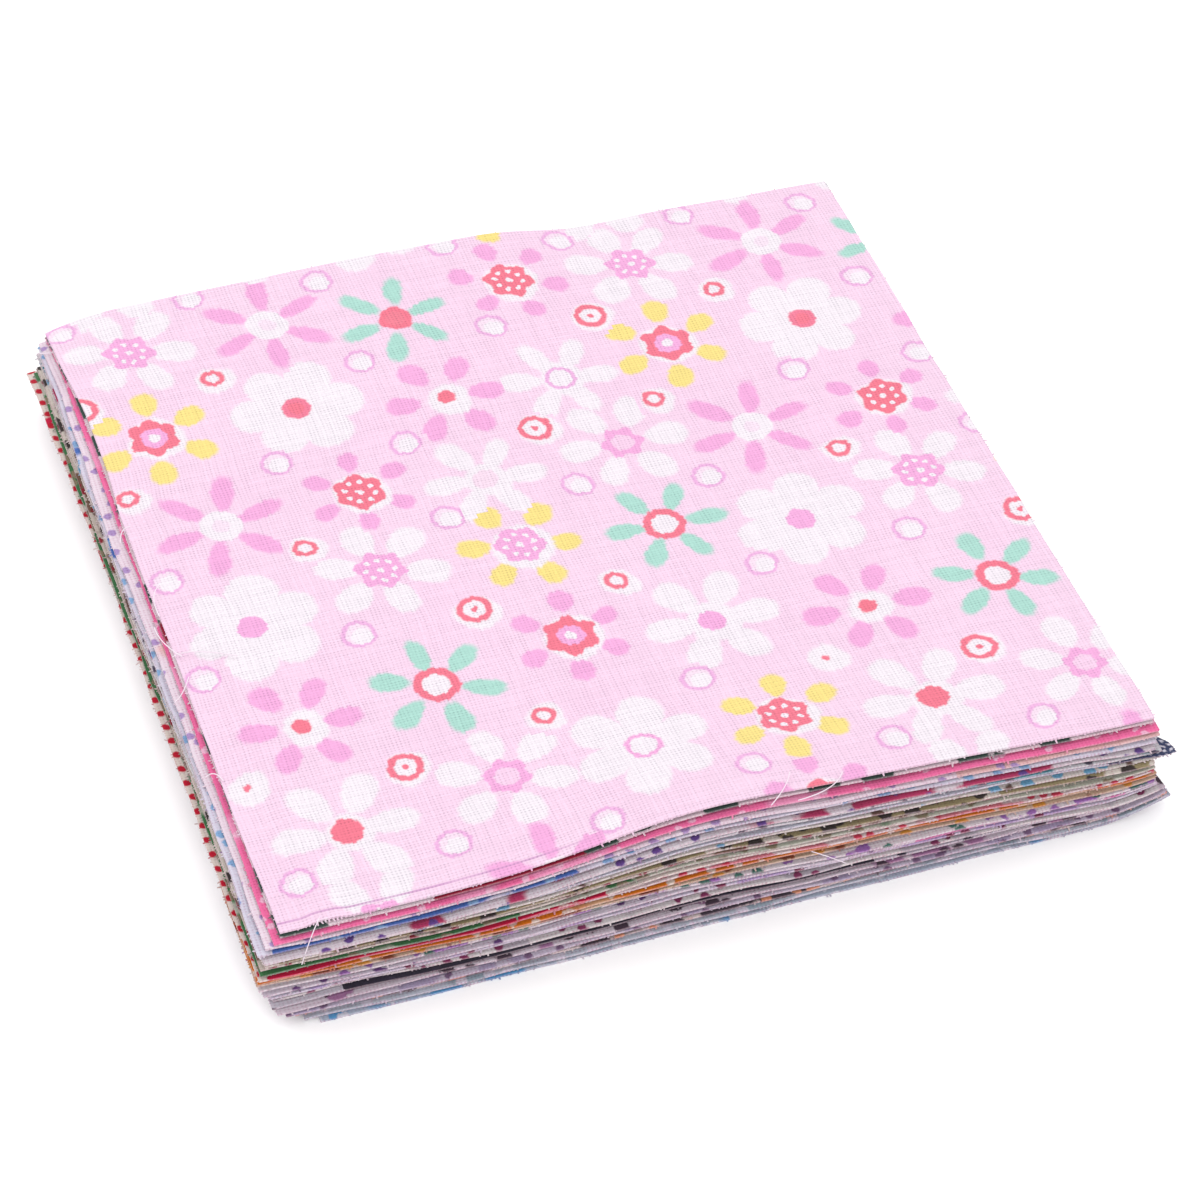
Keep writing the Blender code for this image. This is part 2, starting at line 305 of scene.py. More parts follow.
# One repeat of the print: how far each motif lies to the right of the cloth's back left corner and
# in front of it, and its turn in degrees. The next repeat lies to the right of it. The cloth is drawn
# a little askew there, so its motifs lie further out the nearer they are to the front right corner.
Motif = namedtuple("Motif", "kind right front turn", defaults=(0,))
REPEAT_RIGHT = 62.4
REPEAT_FRONT = 0.5
DRAWN_RIGHT = 0.05
DRAWN_FRONT = 0.001
REPEATS = 2
MOTIFS = [Motif(*row) for row in (
    ("white_star", 8.2, 8.3, 47), ("orchid_daisy", 25.1, 8.4, 25),
    ("mint", 39.9, 11.8, 14), ("orchid_dotted", 55.4, 8.6, -18),
    ("yellow_star", 6.6, 23.3, 26), ("broad_red", 23.9, 23.2),
    ("orchid_dot", 41.5, 26.5), ("star_ring", 55.6, 26.7, 55),
    ("orchid_daisy", 10.5, 39.8, 14), ("orchid_dotted", 27.2, 38.9, 27),
    ("star_pale", 41.8, 41.0, 58), ("white_hollow", 59.2, 39.2, 2),
    ("broad_orchid", 9.4, 56.5, 15), ("white_star", 25.7, 52.1, 41),
    ("yellow_orchid", 42.1, 52.7, 51), ("mint_ring", 59.3, 53.8, -1),
    ("orchid_dot", 10.4, 72.4, -1), ("mint_ring", 26.5, 71.0, 39),
    ("orchid_star", 43.0, 68.2, 24), ("daisy_orchid", 59.0, 70.5, 1),
    ("daisy_red", 10.8, 88.6), ("white_hollow", 29.5, 86.5, 37),
    ("broad_ring", 44.7, 87.7, 15), ("yellow_dotted", 60.9, 87.9, 23),
    ("red_target", -0.4, 16.5), ("red_ring", 15.9, 15.4),
    ("red_ring", 1.4, 32.4), ("red_ring", 18.6, 46.0),
    ("red_ring", 50.7, 61.2), ("red_ring", 36.1, 79.1),
    ("red_target", 50.2, 34.3), ("red_target", 33.9, 61.2),
    ("red_target", 19.5, 81.6), ("white_spot", 2.5, 79.4),
    ("pale_ring", 33.5, 17.7), ("pale_ring", 50.5, 16.0),
    ("pale_ring", 19.3, 31.5), ("pale_ring", 34.7, 32.5),
    ("pale_ring", 2.3, 46.7), ("pale_ring", 35.7, 45.9),
    ("pale_ring", 51.9, 44.7), ("pale_ring", 20.4, 61.2),
    ("pale_ring", 2.1, 62.6), ("pale_ring", 54.1, 78.9),
    ("pale_ring", 3.7, 94.2), ("pale_ring", 21.0, 93.8),
    ("pale_ring", 37.1, 97.2), ("pale_ring", 54.4, 94.7),
    ("pale_ring", 1.4, 1.8), ("orchid_daisy", 30.2, 102.1, 32),
    ("orchid_dotted", 60.2, 102.1, 33), ("white_star", 10.8, 102.0),
    ("daisy_red", 7.8, -4.9, 2), ("white_hollow", 25.3, -7.0, 37),
    ("broad_ring", 40.2, -5.8, 15), ("yellow_dotted", 56.3, -5.8, 23),
    ("pale_ring", 17.4, 1.0), ("pale_ring", 32.9, 2.7),
    ("pale_ring", 49.4, 0.6),
)]

# Where the halo lies, how patchy its edge is, and how much more room it and the centre have than the
# petals where two motifs meet.
HALO_RIGHT = 0.25
HALO_FRONT = 0.40
HALO_PATCHY = 2.2
HALO_ROOM = 0.5

# The dots: how far out they lie, as a share of the centre's radius, their radius, and what share that
# is of the middle one's. Then the number of a star's points.
DOT_REACH = 0.60
DOT_RADIUS = 0.34
MIDDLE_DOT = 0.8
STAR_POINTS = 6

# The print is drawn unevenly: how far its outlines wobble and in waves of what size, how unequal the
# petals are in reach and width, and how much wider they get outwards. A petal's luck goes by its
# motif's place, too.
WOBBLE = 0.5
WOBBLE_RIGHT = 2.2
WOBBLE_BACK = 2.6
Uneven = namedtuple("Uneven", "least spread")
REACH = Uneven(least=0.92, spread=0.16)
WIDTH = Uneven(least=0.9, spread=0.2)
PETAL_TAPER = 0.18
LUCK_RIGHT = 3.1
LUCK_BACK = 1.7

# How wide the soft edges of the inks are, and the sizes of the inks' and the ground's patches.
Soft = namedtuple("Soft", "petal halo centre inner core dot")
SOFT = Soft(petal=0.55, halo=0.7, centre=0.36, inner=0.3, core=0.25, dot=0.15)
INK_PATCHES = 4.0
GROUND_PATCHES = 14.0

# What is left of the cloth's colour where the weave lies in its own shade: on the top square, and on
# the squares below it, whose light comes in between pink cloth and whose prints are more saturated.
TOP_SHADE = (0.66, 0.66, 0.68)
LOWER_SHADE = (0.76, 0.56, 0.64)
LOWER_SATURATION = 1.14

# How far the threads wander and in waves of what size, how much of a thread's height is its own
# roundness and how much the weave's rise and fall, how far the print jumps from thread to thread, and
# where the wefts' chances start, apart from the warps' ones.
Wander = namedtuple("Wander", "size most")
WARP_WANDER = Wander(size=9.0, most=0.7)
WEFT_WANDER = Wander(size=7.0, most=0.6)
ROUNDNESS = 0.55
CRIMP = 0.45
JAG = 0.26
WEFT_CHANCES = 4000.5

# Streaks of more open weave along the threads, whose holes get more painted shade: how often they change
# along them and across the warps and wefts, their contrast, the level below which the weave is closed,
# and how open that still is.
STREAK_ALONG = 0.2
STREAK_WARP = 2.2
STREAK_WEFT = 2.4
STREAK_CONTRAST = 3.4
STREAK_LEVEL = 2.7
LEAST_OPEN = 0.05

# How much the threads' own tones darken the cloth and how much painted shade lies in their hollows, how
# much of its raw colour a bare thread end shows, and the relief of the weave.
TONE_SHADE = 0.20
HOLLOW_SHADE = 0.20
RAW_SHARE = 0.45
RELIEF = {"Strength": 0.6, "Distance": 0.06 * MM}
TONE_RELIEF = 0.3
COTTON = {"Roughness": 0.92, "Specular IOR Level": 0.18, "Sheen Weight": 0.18, "Sheen Roughness": 0.5}

# The loose threads, and the size of the stripes of painted shade and light that their twist makes.
THREAD = {"Roughness": 0.9}
TWIST = 0.12

# Loose threads, each through three points: x, y and height above the surface.
Strand = namedtuple("Strand", "start middle end")
STRANDS = [Strand(*row) for row in (
    ((-45.6, -49.6, 14.3), (-47.0, -51.0, 13.0), (-48.2, -51.6, 9.8)),
    ((8.0, -47.6, 16.7), (6.6, -49.6, 16.9), (4.6, -51.0, 16.2)),
    ((13.6, -49.0, 16.3), (11.4, -50.6, 16.2), (7.6, -51.3, 16.3)),
    ((9.2, -52.6, 8.6), (11.2, -52.9, 7.3), (13.4, -52.9, 5.4)),
    ((-49.4, 12.4, 13.4), (-50.4, 12.1, 13.3), (-51.0, 10.9, 12.7)),
    ((-48.8, 2.2, 13.8), (-49.9, 0.4, 13.8), (-50.0, -2.4, 13.7)),
    ((-50.9, -3.4, 13.2), (-50.6, -6.4, 13.7), (-49.3, -9.2, 14.0)),
    ((-50.2, -8.6, 13.6), (-47.6, -8.9, 13.9), (-43.4, -10.8, 13.8)),
    ((-51.7, -14.6, 12.9), (-50.6, -14.0, 13.5), (-49.4, -12.3, 13.9)),
    ((-51.4, -26.2, 13.0), (-50.5, -26.5, 13.6), (-49.9, -27.9, 13.8)),
    ((-51.8, 47.4, 9.6), (-50.9, 46.0, 10.5), (-49.2, 45.5, 10.7)),
)]
STRAND_RADIUS = 0.06
STRAND_SIDES = 5
STRAND_STEPS = 14

# The camera, from the photograph's perspective.
CAMERA_AZIMUTH = -21.41
CAMERA_ELEVATION = 46.83
CAMERA_ROLL = 2.88
CAMERA_DISTANCE = 510.7
CAMERA_RIGHT = -3.35
CAMERA_UP = 1.40
CAMERA_LENS = 130.56
SENSOR = 36.0
CLIP_START = 0.01

# The studio, in metres and watts: soft boxes that shine at the bundle, and a bright white world.
Light = namedtuple("Light", "name place size power")
LIGHTS = (
    Light("key", place=(-0.35, 0.45, 0.95), size=0.9, power=4.2),
    Light("front", place=(0.25, -0.9, 0.5), size=0.8, power=1.9),
)
WORLD = {"Color": (1.0, 1.0, 1.0, 1.0), "Strength": 1.24}
FLOOR = {"Base Color": (0.96, 0.96, 0.96, 1.0), "Roughness": 1.0, "Specular IOR Level": 0.0}
FLOOR_REACH = 3.0


def bump(fold, x, y):
    """Height of one soft swelling or hollow at a place."""
    return fold.rise * np.exp(-((x - fold.x) / fold.wide) ** 2 - ((y - fold.y) / fold.deep) ** 2)


def stack_height(x, y):
    """Height of the top square's upper face above the surface."""
    across = (x + HALF_SIDE) / (2 * HALF_SIDE)
    along = (y + HALF_SIDE) / (2 * HALF_SIDE)
    front = FRONT_LEFT_HEIGHT + (FRONT_RIGHT_HEIGHT - FRONT_LEFT_HEIGHT) * across
    back = BACK_LEFT_HEIGHT + (BACK_RIGHT_HEIGHT - BACK_LEFT_HEIGHT) * across
    return front + (back - front) * along + sum(bump(fold, x, y) for fold in FOLDS)


def sway(row, place):
    """How far the waves of the clusters are turned at a place, in radians."""
    return row.turn * np.sin(place / row.length + row.start)


def cluster_shift(level, x, y):
    """How far the squares at a level move towards their cluster, as a share of the stack."""
    phase = sway(SWAY_ACROSS, x) + sway(SWAY_ALONG, y)
    return CLUSTER * 4 * level * (1 - level) * np.sin(math.tau * CLUSTERS * level + phase)


def underside(level, x, y):
    """Height of the lower face of the square at a level, before it flutters."""
    curl = np.maximum(0.0, bump(CURL, x, y) - CURL_STARTS)
    wave = np.sin(math.tau * x / LOOSE_WAVE) * np.cos(math.tau * y / (2 * LOOSE_WAVE))
    loose_level = level + LOOSENESS * level * (1 - level) * wave + cluster_shift(level, x, y)
    hang = bump(HANG, x, y) * math.exp(-((level - HANG_LEVEL) / HANG_SPREAD) ** 2)
    return curl + loose_level * (stack_height(x, y) - SHEET - curl) - hang


def flutter(index, x, y):
    """The small rise and fall that each square has of its own."""
    if index in (0, len(PRINTS)):
        return 0.0
    hand = random.Random(FLUTTER_SEED + index)
    height = 0.0
    for length in FLUTTER_WAVES:
        turn = hand.uniform(0, math.tau)
        phase = hand.uniform(0, math.tau)
        height = height + np.sin((x * math.cos(turn) + y * math.sin(turn)) * math.tau / length + phase)
    return FLUTTER * height


def outline_at(level):
    """The edges of the square at a level, between the two nearest rows of the table."""
    for below, above in zip(OUTLINES, OUTLINES[1:]):
        if level <= above.level:
            share = (level - below.level) / (above.level - below.level)
            return [low + (high - low) * share for low, high in zip(below[1:], above[1:])]
    return list(OUTLINES[-1][1:])


class Square:
    """One square of the bundle: where its edges run and how high it lies."""

    def __init__(self, index, name, edges):
        self.index = index
        self.name = name
        self.level = index / len(PRINTS)
        self.left, self.right, *self.ends = edges
        hand = random.Random(STRAY_SEED + index)
        most = TOP_STRAY if index >= TOP_STRAYS_FROM else STRAY
        first, step = STRAY_FALL
        self.strays = {
            side: [(waves, hand.uniform(-most, most) / (first + step * n), hand.uniform(0, math.tau))
                   for n, waves in enumerate(STRAY_WAVES)]
            for side in ("left", "right", "front", "back")
        }
        self.nudges = [nudge for nudge in NUDGES if nudge.index == index]
        self.bends = [bend for bend in BENDS if bend.index == index]

    def stray(self, side, share):
        """How far an edge lies outside its straight line."""
        out = sum(high * np.sin(waves * share * math.tau + phase)
                  for waves, high, phase in self.strays[side])
        nudged = sum(nudge.out + nudge.tilt * (share - 0.5)
                     for nudge in self.nudges if nudge.side == side)
        bent = sum(bend.out * self.in_bend(bend, share) for bend in self.bends if bend.side == side)
        return out + nudged + bent

    def in_bend(self, bend, share):
        """1 where an edge bends out or in, and 0 away from there."""
        return np.exp(-((share - bend.at) / bend.reach) ** 4)

    def comb(self, side, share):
        """How long the bare thread ends of an edge are."""
        return sum(-bend.comb * bend.out * self.in_bend(bend, share)
                   for bend in self.bends if bend.side == side)

    def place(self, across, along):
        """Where the point at these shares of the sides lies, seen from above."""
        front_left, front_right, back_left, back_right = self.ends
        left = self.left - self.stray("left", along)
        right = self.right + self.stray("right", along)
        front = front_left + (front_right - front_left) * across - self.stray("front", across)
        back = back_left + (back_right - back_left) * across + self.stray("back", across)
        return left + (right - left) * across, front + (back - front) * along

    def floor(self, x, y):
        """Height of the lower face."""
        return underside(self.level, x, y) + flutter(self.index, x, y)

    def thickness(self, x, y):
        """The cloth's thickness, less where the stack is pressed."""
        if self.index == len(PRINTS):
            return np.full_like(x, SHEET)
        above = underside((self.index + 1) / len(PRINTS), x, y) + flutter(self.index + 1, x, y)
        return np.minimum(SHEET, FILL * (above - self.floor(x, y)))

    def flat_size(self):
        """Width and length of the square as it was cut, in metres."""
        front_left, front_right, back_left, back_right = self.ends
        length = (back_left + back_right - front_left - front_right) / 2
        return (self.right - self.left) * MM, length * MM


def cut_squares():
    """The squares from the lowest up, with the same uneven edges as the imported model."""
    hand = random.Random(JITTER_SEED)
    top = len(PRINTS)
    squares = []
    for index in range(top + 1):
        slack = 0.0 if index in (0, top) else JITTER
        edges = [edge + hand.uniform(-slack, slack) for edge in outline_at(index / top)]
        name = "pink_flowers" if index == top else PRINTS[index].name
        squares.append(Square(index, name, edges))
    return squares


def side_shares(cells):
    """Shares of a side: even cells, with extra rows close to both edges."""
    inner = np.linspace(RIM_ROWS[-1], 1 - RIM_ROWS[-1], cells + 1)[1:-1]
    return np.concatenate([RIM_ROWS, inner, 1 - np.array(RIM_ROWS[::-1])])


def sheet_mesh(square, cells):
    """Points, faces and cloth coordinates of the closed sheet. Its lower side is the unprinted one."""
    shares = side_shares(cells)
    n = len(shares)
    across, along = (grid.ravel() for grid in np.meshgrid(shares, shares))
    x, y = square.place(across, along)
    floor = square.floor(x, y)
    lower = np.stack([x, y, floor], 1)
    upper = np.stack([x, y, floor + square.thickness(x, y)], 1)
    cloth = np.stack([(across - 0.5) * 2 * HALF_SIDE, (along - 0.5) * 2 * HALF_SIDE, 0 * x], 1)

    corner = (np.arange(n - 1)[:, None] * n + np.arange(n - 1)[None, :]).ravel()
    under = np.stack([corner, corner + n, corner + n + 1, corner + 1], 1)
    over = under[:, ::-1] + n * n
    row = np.arange(n - 1)
    rim = np.concatenate([row, row * n + n - 1, n * n - 1 - row, (n - 1 - row) * n])
    ahead = np.roll(rim, -1)
    walls = np.stack([rim, ahead, ahead + n * n, rim + n * n], 1)
    points = np.concatenate([lower, upper])
    wrong_side = cloth + (0, 0, 1.0)
    return points, np.concatenate([over, under, walls]).tolist(), np.concatenate([wrong_side, cloth])


def thread_ends(square, first):
    """Points, faces and cloth coordinates of the thread ends that stand out of the cut edges."""
    hand = np.random.default_rng(END_SEED + square.index)
    sides = (
        ("front", WARP_COUNT, 0, -1), ("back", WARP_COUNT, 0, 1),
        ("left", WEFT_COUNT, -1, 0), ("right", WEFT_COUNT, 1, 0),
    )
    points, faces, cloths = [], [], []
    for side, count, out_x, out_y in sides:
        n = round(2 * HALF_SIDE * count)
        share = (np.arange(n) + 0.5) / n
        across = share if out_x == 0 else np.full(n, 0.5 + out_x / 2)
        along = share if out_y == 0 else np.full(n, 0.5 + out_y / 2)
        x, y = square.place(across, along)
        middle = square.floor(x, y) + square.thickness(x, y) / 2
        length = END_LENGTH * np.exp(hand.normal(0, END_UNEVEN, n))
        bare = square.comb(side, share) * hand.uniform(*COMB_UNEVEN, n)
        length = np.minimum(length, END_MOST) + bare
        lean = hand.normal(0, END_LEAN, n) * length
        rise = (hand.normal(0, END_SPLAY, n) - END_DROOP) * length
        step_x = out_x * length + lean * abs(out_y)
        step_y = out_y * length + lean * abs(out_x)
        step = np.stack([step_x, step_y, rise], 1)
        base = np.stack([x, y, middle], 1) - step * (END_ROOT / length)[:, None]
        tip = base + step
        tip[:, 2] = np.maximum(tip[:, 2], END_HIGH)
        high = np.minimum(END_HIGH, square.thickness(x, y) * END_FILL)
        for corner in range(3):
            turn = math.tau * corner / 3 + math.pi / 2
            wide = END_WIDE * math.cos(turn) * np.array([abs(out_y), abs(out_x), 0])
            lift = np.outer(high * math.sin(turn), (0, 0, 1))
            points += [base + wide + lift, tip + (wide + lift) * END_TIP]
        cloth_x = (across - 0.5) * 2 * HALF_SIDE
        cloth_y = (along - 0.5) * 2 * HALF_SIDE
        cloths += [np.stack([cloth_x, cloth_y, hand.uniform(*END_RAW, n)], 1)] * 6
        at = first + np.arange(n)
        base_at = [at, at + 2 * n, at + 4 * n]
        tip_at = [at + n, at + 3 * n, at + 5 * n]
        faces += prisms(base_at, tip_at, flip=out_x == 0)
        first += 6 * n
    return np.concatenate(points), faces, np.concatenate(cloths)


def prisms(base, tip, flip):
    """Faces of three-sided prisms between the corners at their bases and tips."""
    faces = [np.stack(base[::-1], 1), np.stack(tip, 1)]
    for a, b in ((0, 1), (1, 2), (2, 0)):
        faces.append(np.stack([base[a], base[b], tip[b], tip[a]], 1))
    return [face[::-1] if flip else face for group in faces for face in group.tolist()]


def add_object(name, data):
    """An object in the scene with this mesh, light or camera."""
    item = bpy.data.objects.new(name, data)
    bpy.context.scene.collection.objects.link(item)
    return item


def make_object(name, points, faces, cloth, material):
    """A mesh object from points in the tables' millimetres, with its cloth coordinates."""
    mesh = bpy.data.meshes.new(name)
    shift = np.array([TOP_SQUARE_RIGHT, TOP_SQUARE_BACK, 0])
    mesh.from_pydata(((points + shift) * MM).tolist(), [], faces)
    layer = mesh.attributes.new("cloth", "FLOAT_VECTOR", "POINT")
    layer.data.foreach_set("vector", cloth.astype(np.float32).ravel())
    mesh.polygons.foreach_set("use_smooth", [True] * len(mesh.polygons))
    mesh.set_sharp_from_angle(angle=math.radians(SHARP_ANGLE))
    mesh.materials.append(material)
    mesh.validate()
    return add_object(name, mesh)


def make_sheet(square, cells, material):
    """One square of cloth with its thread ends."""
    points, faces, cloth = sheet_mesh(square, cells)
    end_points, end_faces, end_cloth = thread_ends(square, len(points))
    points = np.concatenate([points, end_points])
    cloth = np.concatenate([cloth, end_cloth])
    name = f"cloth_{square.index + 1:02d}_{square.name}"
    return make_object(name, points, faces + end_faces, cloth, material)


class Wire:
    """A value in a material. Python's operators on wires add the nodes that work them out."""

    def __init__(self, tree, socket):
        self.tree = tree
        self.socket = socket

    def math(self, operation, *others):
        return arithmetic(self.tree, operation, self, *others)

    def __add__(self, other):
        return self.math("ADD", other)

    def __sub__(self, other):
        return self.math("SUBTRACT", other)

    def __rsub__(self, other):
        return arithmetic(self.tree, "SUBTRACT", other, self)

    def __mul__(self, other):
        return self.math("MULTIPLY", other)

    def __truediv__(self, other):
        return self.math("DIVIDE", other)


def set_inputs(node, values):
    """Gives a node's inputs fixed values, by their names."""
    for name, value in values.items():
        node.inputs[name].default_value = value


def connect(tree, value, socket):
    """Gives a node's input a wire, a number or a colour."""
    if isinstance(value, Wire):
        tree.links.new(value.socket, socket)
    elif isinstance(value, tuple) and socket.type == "RGBA":
        socket.default_value = (*value, 1.0)
    else:
        socket.default_value = value


def arithmetic(tree, operation, *values):
    """The result of a math node."""
    node = tree.nodes.new("ShaderNodeMath")
    node.operation = operation
    for socket, value in zip(node.inputs, values):
        connect(tree, value, socket)
    return Wire(tree, node.outputs[0])


def mix(tree, share, first, second, blend="MIX"):
    """A colour that goes from the first to the blended one as the share goes from 0 to 1."""
    node = tree.nodes.new("ShaderNodeMix")
    node.data_type = "RGBA"
    node.blend_type = blend
    connect(tree, share, node.inputs["Factor"])
    connect(tree, first, node.inputs[6])
    connect(tree, second, node.inputs[7])
    return Wire(tree, node.outputs[2])


def saturated(tree, colour):
    """The colour with more of its hue."""
    node = tree.nodes.new("ShaderNodeHueSaturation")
    set_inputs(node, {"Saturation": LOWER_SATURATION})
    connect(tree, colour, node.inputs["Color"])
    return Wire(tree, node.outputs[0])


def inside(distance, soft):
    """1 inside a shape and 0 outside it, over a soft edge."""
    node = distance.tree.nodes.new("ShaderNodeMapRange")
    node.interpolation_type = "SMOOTHSTEP"
    connect(distance.tree, distance, node.inputs["Value"])
    set_inputs(node, {"From Min": -soft / 2, "From Max": soft / 2, "To Min": 1.0, "To Max": 0.0})
    return Wire(distance.tree, node.outputs[0])


def vector(tree, x, y):
    """A place in the cloth."""
    node = tree.nodes.new("ShaderNodeCombineXYZ")
    for socket, value in zip(node.inputs, (x, y)):
        connect(tree, value, socket)
    return Wire(tree, node.outputs[0])


def attribute(tree, name):
    """The three numbers of a mesh attribute, and the attribute itself as a colour."""
    node = tree.nodes.new("ShaderNodeAttribute")
    node.attribute_name = name
    split = tree.nodes.new("ShaderNodeSeparateXYZ")
    tree.links.new(node.outputs["Vector"], split.inputs[0])
    return [Wire(tree, socket) for socket in split.outputs], Wire(tree, node.outputs["Color"])


def noise(tree, place, size, detail=2.0):
    """Soft noise around 0.5 whose patches are about size millimetres wide."""
    node = tree.nodes.new("ShaderNodeTexNoise")
    connect(tree, place, node.inputs["Vector"])
    set_inputs(node, {"Scale": 1 / size, "Detail": detail})
    return Wire(tree, node.outputs["Fac"])


def chance(tree, number):
    """A random value between 0 and 1 for each whole number."""
    node = tree.nodes.new("ShaderNodeTexWhiteNoise")
    node.noise_dimensions = "1D"
    connect(tree, number, node.inputs["W"])
    return Wire(tree, node.outputs["Value"])


def distance_to_spots(tree, place, size, scatter):
    """Distance from the nearest spot: in rows where scatter is 0, and anywhere where it is 1."""
    node = tree.nodes.new("ShaderNodeTexVoronoi")
    node.voronoi_dimensions = "2D"
    connect(tree, place, node.inputs["Vector"])
    set_inputs(node, {"Scale": 1 / size, "Randomness": scatter})
    return Wire(tree, node.outputs["Distance"]) * size


Weave = namedtuple("Weave", "height tone hole across along")


def weave(tree, x, y):
    """A plain weave: its height, each thread's own tone, and the print's thread-jagged coordinates."""
    place = vector(tree, x, y)
    x = x + (noise(tree, place, WARP_WANDER.size) - 0.5) * WARP_WANDER.most
    y = y + (noise(tree, vector(tree, y, x), WEFT_WANDER.size) - 0.5) * WEFT_WANDER.most
    warp = x * WARP_COUNT
    weft = y * WEFT_COUNT
    warp_swell = (warp * math.pi).math("SINE")
    weft_swell = (weft * math.pi).math("SINE")
    warp_crimp = warp_swell.math("SIGN") * weft_swell * CRIMP
    weft_crimp = weft_swell.math("SIGN") * warp_swell * CRIMP
    warp_height = warp_swell.math("ABSOLUTE") * ROUNDNESS + warp_crimp
    weft_height = weft_swell.math("ABSOLUTE") * ROUNDNESS - weft_crimp
    height = warp_height.math("MAXIMUM", weft_height)
    warp_on_top = warp_height.math("GREATER_THAN", weft_height)
    warp_chance = chance(tree, warp.math("FLOOR"))
    weft_chance = chance(tree, weft.math("FLOOR") + WEFT_CHANCES)
    tone = weft_chance + (warp_chance - weft_chance) * warp_on_top
    hole = (1.0 - warp_swell.math("ABSOLUTE")) * (1.0 - weft_swell.math("ABSOLUTE"))
    across = x + (weft_chance - 0.5) * JAG
    along = y + (warp_chance - 0.5) * JAG
    return Weave(height, tone, hole, across, along)


def new_material(name):
    """A material, its nodes and its shader."""
    material = bpy.data.materials.new(name)
    material.use_nodes = True
    return material, material.node_tree, material.node_tree.nodes["Principled BSDF"]


def cotton(name, print_ink, shade_ink):
    """Woven cotton. print_ink(tree, across, along) gives the colour of its print."""
    material, tree, shader = new_material(name)
    (x, y, raw), _ = attribute(tree, "cloth")
    cloth = weave(tree, x, y)
    colour = print_ink(tree, cloth.across, cloth.along)
    colour = mix(tree, raw * RAW_SHARE, colour, RAW_COTTON)
    # Painted shade in the weave's holes, deeper in streaks of more open weave, and in the hollows between
    # the threads; the threads' own tones darken the cloth too.
    wefts = noise(tree, vector(tree, x * STREAK_ALONG, y * STREAK_WEFT), 1.0, 1.0)
    warps = noise(tree, vector(tree, x * STREAK_WARP, y * STREAK_ALONG), 1.0, 1.0)
    openness = ((wefts + warps) * STREAK_CONTRAST - STREAK_LEVEL).math("MAXIMUM", LEAST_OPEN)
    hole_shade_and_tone = cloth.hole * openness + (1.0 - cloth.tone) * TONE_SHADE
    shade = hole_shade_and_tone + (1.0 - cloth.height) * HOLLOW_SHADE
    colour = mix(tree, shade, colour, shade_ink, "MULTIPLY")
    tree.links.new(colour.socket, shader.inputs["Base Color"])
    relief = tree.nodes.new("ShaderNodeBump")
    set_inputs(relief, RELIEF)
    connect(tree, cloth.height + cloth.tone * TONE_RELIEF, relief.inputs["Height"])
    tree.links.new(relief.outputs[0], shader.inputs["Normal"])
    set_inputs(shader, COTTON)
    return material


def scattered_print(row, seed):
    """The print of a hidden square: patches of ink and spots or rows of dots of an accent."""

    def paint(tree, across, along):
        place = vector(tree, across + seed * PRINT_SHIFT[0], along + seed * PRINT_SHIFT[1])
        middle = (row.dense_from + row.dense_to) / 2
        from_dense = (across - middle).math("ABSOLUTE") - (row.dense_to - row.dense_from) / 2
        share = inside(from_dense, DENSE_SOFT) * (row.dense - row.share) + row.share
        patches = noise(tree, place, row.size, 1.0)
        level = PATCH_LEVEL - share * PATCH_RANGE
        colour = mix(tree, inside(level - patches, PATCH_SOFT), ink(*row.ground), ink(*row.ink))
        spots = distance_to_spots(tree, place, row.accent_size, row.scatter)
        radius = row.accent_size * (SPOT_LEAST + SPOT_GROWTH * row.accent_share)
        return saturated(tree, mix(tree, inside(spots - radius, SPOT_SOFT), colour, ink(*row.accent)))

    return paint


